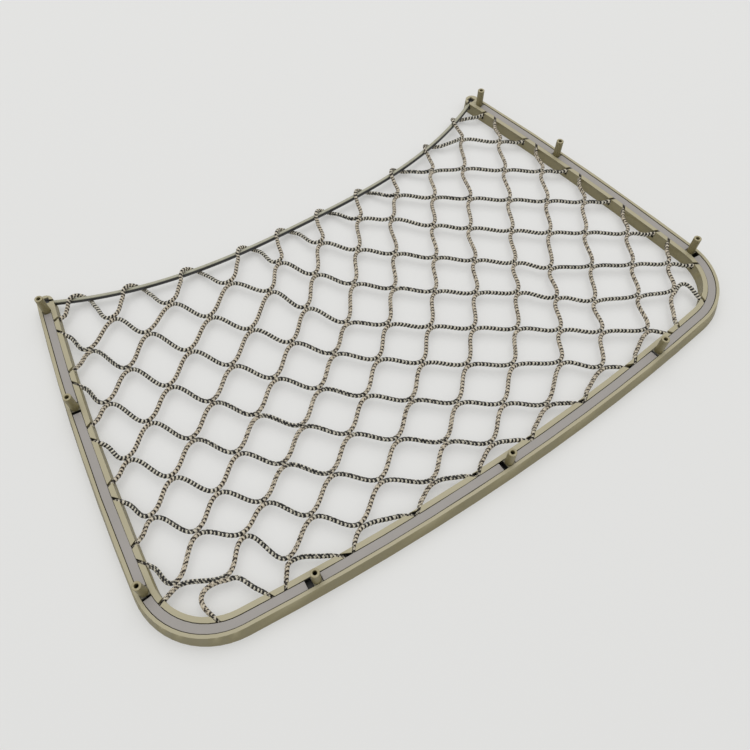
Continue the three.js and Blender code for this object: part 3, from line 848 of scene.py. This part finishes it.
def net_cord_finish():
    """Cream braid with black strands, and painted light that makes the legs that climb to the right browner.
    """
    material, shader = plain_material("net_cord", PALE_CREAM, NET_ROUGHNESS)
    shader.inputs["Sheen Weight"].default_value = NET_SHEEN
    tree = material.node_tree
    around, along = cord_map(tree)
    place = node(tree, "ShaderNodeTexCoord").outputs["Object"]
    # Painted light on the climbing legs: a browner ground, fewer flecks, and brown flecks in place of black.
    lit_slant = kept_value(tree, "climb")
    twisted = calculate(tree, "MULTIPLY_ADD", noise(tree, place, TWIST_SCALE), TWIST, around)
    thinner = calculate(tree, "MULTIPLY", lit_slant, -LEG_THINNING)
    rough_edge = noise(tree, place, UNEVEN_SCALE)
    uneven = calculate(tree, "MULTIPLY_ADD", rough_edge, UNEVENNESS, -UNEVENNESS / 2)
    level = calculate(tree, "ADD", stripes(tree, twisted, along), calculate(tree, "ADD", thinner, uneven))
    fleck = soft_step(tree, level, *STRIPE_EDGE)
    patches = noise(tree, place, PATCH_SCALE)
    cream = blend_colour(tree, patches, GREY_CREAM, PALE_CREAM)
    brown = blend_colour(tree, patches, TAN, PALE_TAN)
    ground = blend_colour(tree, lit_slant, cream, brown)
    dark = blend_colour(tree, lit_slant, BLACK_YARN_AND_SHADE, LIT_BROWN_YARN)
    tree.links.new(blend_colour(tree, fleck, ground, dark), shader.inputs["Base Color"])
    rising, falling = braid_counts(tree, around, along, BRAID_COLUMNS)
    crossing = calculate(tree, "MULTIPLY", hump(tree, rising), hump(tree, falling))
    strands = hump(tree, calculate(tree, "MULTIPLY", rising, YARN_LINES))
    add_bump(tree, shader, calculate(tree, "MULTIPLY_ADD", strands, YARN_SHARE, crossing), NET_BUMP)
    return material


def elastic_finish():
    """A satin olive braid with a painted highlight on its crossings, and painted shade, almost black,
    towards the net and inside the end pockets.
    """
    material, shader = plain_material("elastic_cord", OLIVE_GREY, ELASTIC_ROUGHNESS)
    shader.inputs["Specular IOR Level"].default_value = SHINE
    shader.inputs["Sheen Weight"].default_value = ELASTIC_SHEEN
    shader.inputs["Sheen Roughness"].default_value = ELASTIC_SHEEN_ROUGHNESS
    tree = material.node_tree
    rising, falling = braid_counts(tree, *cord_map(tree), ELASTIC_COLUMNS)
    crossing = calculate(tree, "MULTIPLY", hump(tree, rising), hump(tree, falling))
    place = node(tree, "ShaderNodeTexCoord").outputs["Object"]
    mixed = blend_colour(tree, noise(tree, place, ELASTIC_PATCH_SCALE), OLIVE_GREY, PALE_OLIVE)
    # The braid's crossings are painted paler, as a painted highlight.
    crossing_highlight = calculate(tree, "MULTIPLY", crossing, ELASTIC_HIGHLIGHT_SHARE)
    colour = blend_colour(tree, crossing_highlight, mixed, PALE_OLIVE)
    # Painted shade, almost black, on the side towards the net and on the ends inside the pockets.
    inner = soft_step(tree, kept_value(tree, "towards_net"), *NET_SIDE_SHADE)
    dark = calculate(tree, "MAXIMUM", inner, kept_value(tree, "depth"))
    tree.links.new(blend_colour(tree, dark, colour, BLACK_YARN_AND_SHADE), shader.inputs["Base Color"])
    add_bump(tree, shader, crossing, ELASTIC_BUMP)
    return material


# %% [markdown]
# ## The net
#
# The twelve cords are made three at a time, so that each finished piece stays light enough to use.
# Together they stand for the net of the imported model, and lie where it lies.

# %% Make the net in four bands
BAND_CORDS = 3
net_cord = net_cord_finish()


def closed_piece(name, mesh, material):
    """Closes the tubes' ends, smooths them and makes them an object."""
    shape = bmesh.new()
    shape.from_mesh(mesh)
    bpy.data.meshes.remove(mesh)
    ends = [edge for edge in shape.edges if edge.is_boundary]
    bmesh.ops.holes_fill(shape, edges=ends, sides=0)
    for face in shape.faces:
        face.smooth = True
    return new_piece(name, shape, material)


def net_band(name, routes):
    """Some of the net's cords as one piece, and how much cord is in it."""
    made = []
    for points, climbs in routes:
        placed = [point + TO_PART for point in points]
        made.append(even_line(placed, climbs, CORD_STEP, ROUNDING))
    lines = [line for line, _ in made]
    mesh, ring = braid(lines, CORD_DIAMETER / 2, SIDE_RESOLUTION, BRAID_PITCH, BRAID_COLUMNS, BRAID_RELIEF)
    climb = np.concatenate([climbing for _, climbing in made])
    # The climb number says where the painted light of the climbing legs goes.
    keep_values(mesh, "climb", climb[ring])
    return closed_piece(name, mesh, net_cord), sum(distance_along(line)[-1] for line in lines) * MM


net_length = 0.0
for band in range(ZIGZAGS // BAND_CORDS):
    routes = [zigzag_route(band * BAND_CORDS + i) for i in range(BAND_CORDS)]
    if band == ZIGZAGS // BAND_CORDS - 1:
        routes += [corner_route(-1), corner_route(1)]
    piece, length = net_band(f"net_band_{band + 1}", routes)
    net_length += length
    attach(piece, BODY)
    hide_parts("net")
    print(piece.name, "cord, m:", round(length, 2), "triangles:", 2 * len(piece.data.polygons))
print("cord in the net, m:", round(net_length, 2))

# %% [markdown]
# ## The elastic top cord
#
# The elastic is a rubber core in a woven cover, stretched between the two ends of the frame. It dips
# in the middle, because the net pulls it down. It is the same kind of tube, thicker and smoother.

# %% Make the elastic
ELASTIC_DIAMETER = 3.5
ELASTIC_PITCH = 1.5
ELASTIC_RELIEF = 0.04
ELASTIC_STEP = 0.6
ELASTIC_SAMPLES = 120
ANCHOR_FROM_STUD = 8.2
ANCHOR_OFFSET = -0.2
POCKET_SHADE = 1.5

elastic_points = []
for i in range(ELASTIC_SAMPLES + 1):
    elastic_points.append(elastic_point((2 * i / ELASTIC_SAMPLES - 1) * ELASTIC_ENTRY_X) + TO_PART)
anchor_length = stud_reaches[-1] + ANCHOR_FROM_STUD
elastic_points.insert(0, rail_point(-anchor_length, ANCHOR_OFFSET, ELASTIC_Z) + TO_PART)
elastic_points.append(rail_point(anchor_length, ANCHOR_OFFSET, ELASTIC_Z) + TO_PART)
elastic_line, _ = even_line(elastic_points, [0] * len(elastic_points), ELASTIC_STEP, ROUNDING)
elastic_mesh, _ = braid(
    [elastic_line], ELASTIC_DIAMETER / 2, SIDE_RESOLUTION, ELASTIC_PITCH, ELASTIC_COLUMNS, ELASTIC_RELIEF
)
elastic = closed_piece("elastic", elastic_mesh, elastic_finish())
# The elastic's ends inside the frame's pockets get painted shade, almost black.
pocket_shade_marks = [float(abs(vert.co.x / MM) > ELASTIC_ENTRY_X + POCKET_SHADE) for vert in elastic.data.vertices]
keep_values(elastic.data, "depth", pocket_shade_marks)
# This number puts painted shade on the side of the elastic towards the net.
keep_values(elastic.data, "towards_net", [-vert.normal.y for vert in elastic.data.vertices])
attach(elastic, BODY)
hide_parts("top_elastic")
print("elastic, m:", round(distance_along(elastic_line)[-1] * MM, 3))

# %% [markdown]
# ## Moulded plastic
#
# Moulded plastic is never one flat colour: it has a fine spark-eroded grain, faint cloudiness where
# it cooled, and paler, rubbed edges. The grain and the clouds are drawn in the part's own coordinates,
# so they stay put from every side. The walls get painted shade, a deeper olive, for the light that
# comes mostly from above, and a number kept at each corner of a face says how far it looks up. Narrow
# slits and bores get painted shade, near black, from a second number, which says how deep inside the
# moulding a point of the mesh lies.

# %% Plastic finishes
BEIGE = (0.375, 0.33, 0.19, 1)
WARM_BEIGE = (0.32, 0.27, 0.14, 1)
RUBBED_BEIGE = (0.50, 0.465, 0.32, 1)
LILAC_GREY = (0.36, 0.335, 0.315, 1)
DULL_GREY = (0.31, 0.29, 0.265, 1)
DEEP_SHADE = (0.012, 0.011, 0.008, 1)
WALL_SHADE_OLIVE = (0.225, 0.19, 0.08, 1)
FRAME_ROUGHNESS = 0.5
STRIP_ROUGHNESS = 0.6
ROUGHNESS_SWING = 0.18
ROUGHNESS_SCALE = 130
CLOUD_SCALE = 45
GRAIN_SCALE = 2600
GRAIN_BUMP = 0.00005
WORN_EDGE = (0.53, 0.62)
WORN_SHARE = 0.45
FACING_UP = (0.25, 0.8)
WALL_SHADE_SHARE = 0.9
SHADE_EDGE = (0.02, 0.28)


def plastic_finish(name, base, cloud, rubbed, wall_shade_colour, roughness):
    """Grainy plastic with rubbed edges, painted shade on its walls, and painted shade, near black, in its
    slits.
    """
    material, shader = plain_material(name, base, roughness)
    shader.inputs["Specular IOR Level"].default_value = SHINE
    tree = material.node_tree
    place = node(tree, "ShaderNodeTexCoord").outputs["Object"]
    colour = blend_colour(tree, noise(tree, place, CLOUD_SCALE, detail=3), base, cloud)
    edges = node(tree, "ShaderNodeNewGeometry").outputs["Pointiness"]
    worn = calculate(tree, "MULTIPLY", soft_step(tree, edges, *WORN_EDGE), WORN_SHARE)
    # Faces that look up keep the base colour. Upright faces get painted shade in the wall colour.
    level = soft_step(tree, kept_value(tree, "looks_up"), *FACING_UP)
    upright = calculate(tree, "MULTIPLY_ADD", level, -WALL_SHADE_SHARE, WALL_SHADE_SHARE)
    worn_colour = blend_colour(tree, worn, colour, rubbed)
    walls = blend_colour(tree, upright, worn_colour, wall_shade_colour)
    # Painted shade, near black, in the slits, the channel and the bores, where the depth number is high.
    shade = soft_step(tree, kept_value(tree, "depth"), *SHADE_EDGE)
    tree.links.new(blend_colour(tree, shade, walls, DEEP_SHADE), shader.inputs["Base Color"])
    patches = noise(tree, place, ROUGHNESS_SCALE)
    least = roughness - ROUGHNESS_SWING / 2
    rough = calculate(tree, "MULTIPLY_ADD", patches, ROUGHNESS_SWING, least)
    tree.links.new(rough, shader.inputs["Roughness"])
    add_bump(tree, shader, noise(tree, place, GRAIN_SCALE, detail=1), GRAIN_BUMP)
    return material


# The frame's walls get painted shade in a deeper olive, and the strips' walls in a duller grey.
frame_plastic = plastic_finish(
    "frame_plastic", BEIGE, WARM_BEIGE, RUBBED_BEIGE, WALL_SHADE_OLIVE, FRAME_ROUGHNESS
)
strip_plastic = plastic_finish(
    "strip_plastic", LILAC_GREY, DULL_GREY, LILAC_GREY, DULL_GREY, STRIP_ROUGHNESS
)

# %% [markdown]
# ## The frame and its strips
#
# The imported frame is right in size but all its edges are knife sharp, and no mould makes those. We
# merge a copy of it, take out the flat triangles' edges, and bevel what is left. Its notches stand
# clear of the cords, where the real ones pinch them, so each notch's cheeks slide along the rail
# towards its cord. The coarse studs come off the copy, and turned ones are set in their place. The
# strips are rounded too.

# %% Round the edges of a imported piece
MERGE_DISTANCE = 1e-6
FRAME_BEVEL = 0.25
STRIP_BEVEL = 0.35
BEVEL_SEGMENTS = 2
FLAT_ANGLE = 1
SHARP_ANGLE = 25
SMOOTH_ANGLE = 40
CHEEK_HALF = 0.9
CHEEK_SEARCH = 0.2
WALL_SKIN = 0.4
SHADE_START = 0.5
SHADE_RANGE = 1.8
SHADE_END = 8.0
STUD_DIAMETER = 5.1
STUD_BLOCK_TOP = -0.8
STUD_SEARCH = 0.1
CLEAR_OF_BLOCK = 0.5


def merged_copy(node_name):
    shape = bmesh.new()
    shape.from_mesh(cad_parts[node_name].data)
    bmesh.ops.remove_doubles(shape, verts=shape.verts, dist=MERGE_DISTANCE)
    return shape


def round_edges(shape, width):
    """Bevels the sharp edges, after the flat faces' inner edges are gone."""
    bmesh.ops.dissolve_limit(
        shape, angle_limit=math.radians(FLAT_ANGLE), verts=shape.verts, edges=shape.edges, delimit={"NORMAL"}
    )
    sharp = [edge for edge in shape.edges if edge.calc_face_angle(0) > math.radians(SHARP_ANGLE)]
    bmesh.ops.bevel(
        shape, geom=sharp, offset=width * MM, segments=BEVEL_SEGMENTS, profile=0.5, affect="EDGES",
        material=-1, clamp_overlap=True, loop_slide=True,
    )
    for face in shape.faces:
        face.smooth = True


def moulded_piece(name, shape, material, smooth_angle):
    """A plastic piece with soft shading, each corner of whose faces keeps how far it looks up."""
    piece = new_piece(name, shape, material)
    piece.data.set_sharp_from_angle(angle=math.radians(smooth_angle))
    weigh = piece.modifiers.new("even_normals", "WEIGHTED_NORMAL")
    weigh.keep_sharp = True
    shaded = piece.evaluated_get(bpy.context.evaluated_depsgraph_get()).data
    keep_values(piece.data, "looks_up", [normal.vector.z for normal in shaded.corner_normals], "CORNER")
    return piece


def edge_crossings():
    """Every place where a leg of the net runs through the inner rim."""
    crossings = []
    for row in range(1, ZIGZAGS, 2):
        for place in (0, LAST_PLACE + 1):
            crossings.append(side_crossing(row, place, 1))
            if row < ZIGZAGS - 1:
                crossings.append(side_crossing(row, place, -1))
    for place in range(LAST_PLACE + 1):
        if place < LAST_PLACE:
            crossings.append(bottom_crossing(place, True))
        if place > 0:
            crossings.append(bottom_crossing(place, False))
    return crossings


def pinch(spot, crossings):
    """Where a corner of a notch goes so that the notch holds its cord, or None for other corners."""
    for notch in crossings:
        way = notch["way"].to_2d()
        across = Vector((-way.y, way.x))
        away = spot - notch["middle"].to_2d()
        aside = away.dot(across)
        if abs(away.dot(way)) > notch["reach"] + NOTCH_OVERRUN + CHEEK_SEARCH:
            continue
        if abs(abs(aside) - NOTCH_WIDTH / 2) > CHEEK_SEARCH:
            continue
        outward = (rail_point(notch["length"], 1) - rail_point(notch["length"])).to_2d()
        along_rail = Vector((-outward.y, outward.x))
        wanted = math.copysign(CHEEK_HALF, aside)
        return spot + along_rail * ((wanted - aside) / along_rail.dot(across))
    return None


def rail_offset(spot):
    """How far outside the rail's middle line a spot lies."""
    mirrored = Vector((abs(spot.x), spot.y))
    for arc, last in ((bottom_arc, corner_start), (corner_arc, corner_end), (side_arc, math.pi)):
        if heading(arc[0], mirrored) < last:
            return (mirrored - arc[0]).length - arc[1]


def depth_in_rail(spot):
    """How much painted shade a spot gets: nothing on the rail's top and outer walls, up to one deep inside
    its channel and notches.
    """
    inside = INNER_EDGE + WALL_SKIN < rail_offset(spot) < OUTER_EDGE - WALL_SKIN
    if not inside or spot.z < -SHADE_END:
        return 0.0
    return min(max((-spot.z - SHADE_START) / SHADE_RANGE, 0.0), 1.0)


frame_shape = merged_copy("frame")
notches = edge_crossings()
pinched = 0
for vert in frame_shape.verts:
    moved = pinch((vert.co / MM - TO_PART).to_2d(), notches)
    if moved:
        vert.co.xy = (moved + TO_PART.to_2d()) * MM
        pinched += 1
print("notches:", len(notches), "corners slid:", pinched)
stud_places = [rail_point(length) + TO_PART for length in stud_lengths]
block_top = (RAIL_HEIGHT + STUD_BLOCK_TOP) * MM
old_studs = []
for vert in frame_shape.verts:
    near = min(((vert.co / MM).to_2d() - place.to_2d()).length for place in stud_places)
    if near < STUD_DIAMETER / 2 + STUD_SEARCH and vert.co.z > block_top + CLEAR_OF_BLOCK * MM:
        old_studs.append(vert)
bmesh.ops.delete(frame_shape, geom=old_studs, context="VERTS")
rims = [edge for edge in frame_shape.edges if edge.is_boundary]
bmesh.ops.holes_fill(frame_shape, edges=rims, sides=0)
print("stud corners taken off:", len(old_studs), "open edges closed:", len(rims))
round_edges(frame_shape, FRAME_BEVEL)
pocket_frame = moulded_piece("pocket_frame", frame_shape, frame_plastic, SMOOTH_ANGLE)
# The depth number puts painted shade, near black, into the channel and the notches.
rail_depths = [depth_in_rail(vert.co / MM - TO_PART) for vert in pocket_frame.data.vertices]
keep_values(pocket_frame.data, "depth", rail_depths)
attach(pocket_frame, BODY)
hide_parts("frame")

for name in sorted(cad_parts):
    if not name.startswith("strip_"):
        continue
    shape = merged_copy(name)
    round_edges(shape, STRIP_BEVEL)
    strip = moulded_piece(name.replace("strip_", "retainer_"), shape, strip_plastic, SMOOTH_ANGLE)
    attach(strip, BODY)
    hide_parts(name)

# %% [markdown]
# ## Turned studs
#
# Each stud is a hollow post. Its half profile is drawn as a few points, from the foot up the outside,
# over a rounded lip and down the bore, and spun once round. That is how a lathe would see it, and it
# gives true round walls with few faces.

# %% Nine hollow studs
STUD_HEIGHT = 12.4
STUD_BORE = 2.4
BORE_DEPTH = 12.5
STUD_STEPS = 40
LIP = 0.35
LIP_STEPS = 4
STUD_SINK = 0.3
STUD_SMOOTH_ANGLE = 50


def stud_profile():
    """Radius and height of each point, from the foot's middle to the bore's."""
    outer = STUD_DIAMETER / 2
    bore = STUD_BORE / 2
    foot = STUD_BLOCK_TOP - STUD_SINK
    profile = [(0, foot), (outer, foot)]
    for step in range(LIP_STEPS + 1):
        turn = math.pi / 2 * step / LIP_STEPS
        profile.append((outer - LIP + LIP * math.cos(turn), STUD_HEIGHT - LIP + LIP * math.sin(turn)))
    profile.append((bore + LIP / 2, STUD_HEIGHT))
    profile.append((bore, STUD_HEIGHT - LIP / 2))
    profile.append((bore, STUD_HEIGHT - BORE_DEPTH))
    profile.append((0, STUD_HEIGHT - BORE_DEPTH))
    return profile


def depth_in_bore(spot):
    """Painted shade: one inside a stud's bore, nothing elsewhere on it."""
    below_lip = STUD_HEIGHT - LIP - spot.z
    if spot.to_2d().length > STUD_BORE / 2 + LIP / 4 or below_lip < 0:
        return 0.0
    return 1.0


def stud_shape(place):
    shape = bmesh.new()
    points = [shape.verts.new((radius * MM, 0, z * MM)) for radius, z in stud_profile()]
    edges = [shape.edges.new(pair) for pair in zip(points, points[1:])]
    bmesh.ops.spin(
        shape, geom=points + edges, axis=(0, 0, 1), cent=(0, 0, 0), angle=2 * math.pi, steps=STUD_STEPS,
        use_merge=True,
    )
    bmesh.ops.remove_doubles(shape, verts=shape.verts, dist=MERGE_DISTANCE)
    bmesh.ops.recalc_face_normals(shape, faces=shape.faces)
    bmesh.ops.translate(shape, verts=shape.verts, vec=place * MM)
    for face in shape.faces:
        face.smooth = True
    return shape


for number, place in enumerate(stud_places, start=1):
    stud = moulded_piece(f"stud_{number}", stud_shape(place), frame_plastic, STUD_SMOOTH_ANGLE)
    # The depth number puts painted shade, near black, into each stud's bore.
    bore_depths = [depth_in_bore(vert.co / MM - place) for vert in stud.data.vertices]
    keep_values(stud.data, "depth", bore_depths)
    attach(stud, BODY)
print("studs:", len(stud_places))
